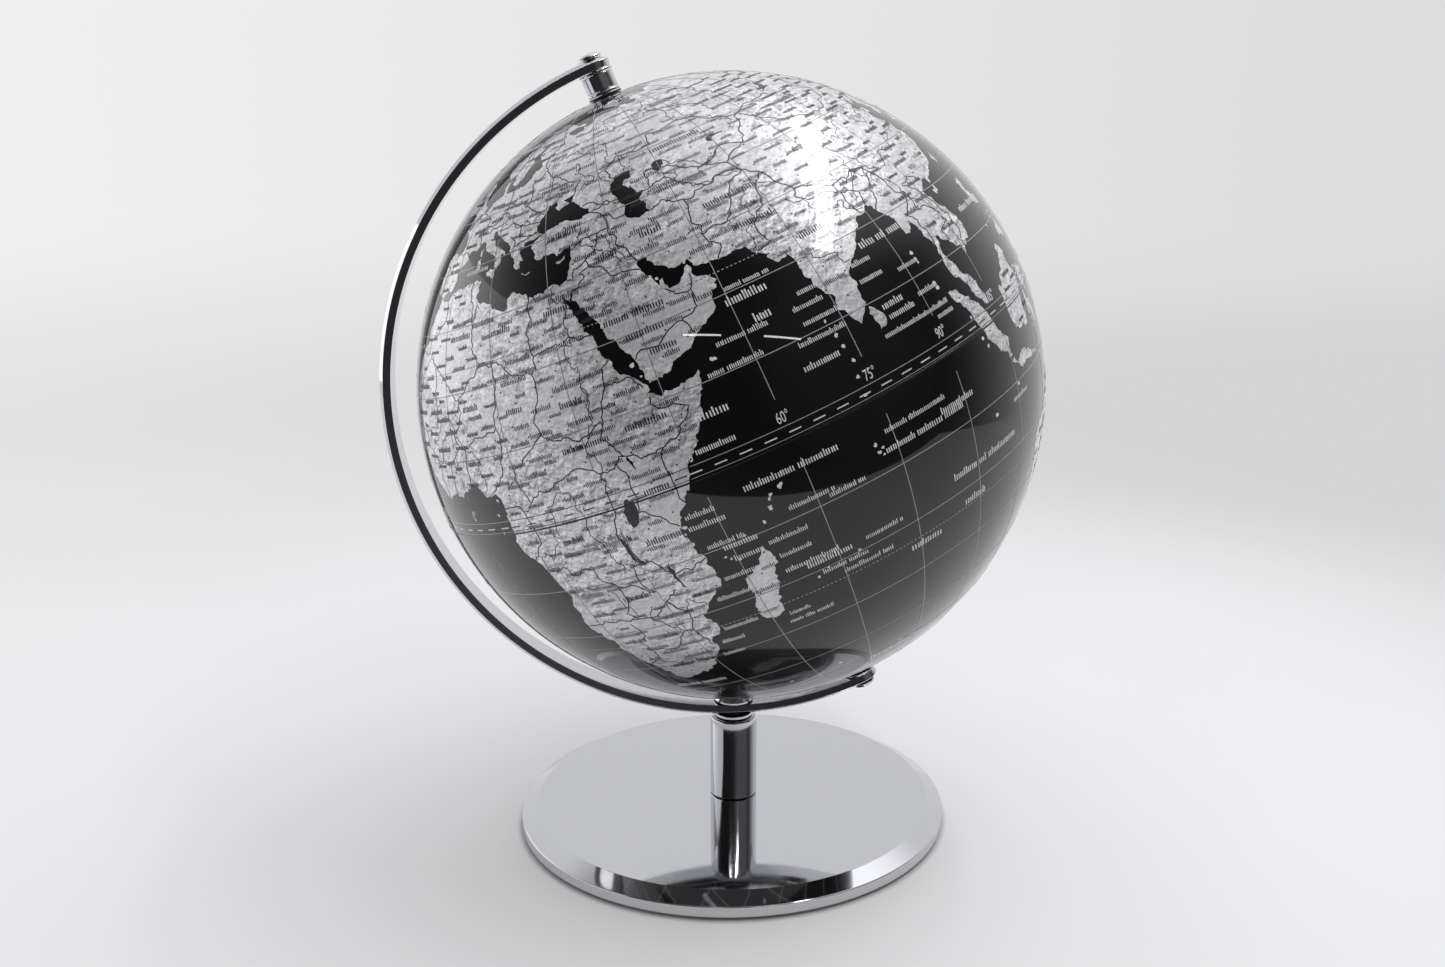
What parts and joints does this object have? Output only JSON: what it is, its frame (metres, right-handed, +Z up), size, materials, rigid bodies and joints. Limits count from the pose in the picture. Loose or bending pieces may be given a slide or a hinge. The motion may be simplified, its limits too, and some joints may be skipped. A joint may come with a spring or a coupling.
{
  "type": "desk globe",
  "caption": "Glossy desk globe that spins on a tilted half-circle arc, on a short post and a round weighted base.",
  "frame": {"origin": "on the post's axis, at the underside of the foot pad, where the globe stands", "axes": "+Z up along the post; the arc stands in the XZ plane at rest and the globe's north pole leans towards -X; -Y faces the viewer"},
  "size_m": [0.254, 0.24, 0.3042],
  "materials": {
    "chrome": "mirror-polished chrome plate on steel",
    "plain_steel": "zinc-plated steel fasteners",
    "pad_felt": "thin black felt",
    "globe_print": "gloss-coated printed shell, black seas and silver land",
    "inner_plastic": "moulded plastic"
  },
  "bodies": {
    "stand": {"base_pad": "pad_felt", "base_plate": "chrome", "post_screw": "plain_steel", "post_screw_washer": "plain_steel", "post": "chrome", "arc_stud": "plain_steel", "arc_clamp_nut": "chrome"},
    "arc": {"post_collar": "chrome", "meridian_arc": "chrome", "north_thrust_ring": "chrome", "north_spacer": "chrome", "north_washer": "chrome", "north_axle_pin": "chrome", "south_thrust_ring": "chrome", "south_spacer": "chrome", "south_washer": "chrome", "south_axle_pin": "chrome"},
    "globe": {"equator_coupling": "inner_plastic", "north_hemisphere": "globe_print", "south_hemisphere": "globe_print", "north_pole_bushing": "inner_plastic", "south_pole_bushing": "inner_plastic"}
  },
  "joints": [
    {"name": "arc_swivel", "type": "hinge", "parent": "stand", "child": "arc", "pos_m": [0, 0, 0.0422], "axis": [0, 0, 1], "range_deg": [-180, 180]},
    {"name": "globe_spin", "type": "hinge", "parent": "arc", "child": "globe", "pos_m": [0, 0, 0.1781], "axis": [-0.3987, 0, 0.9171], "continuous": true}
  ]
}
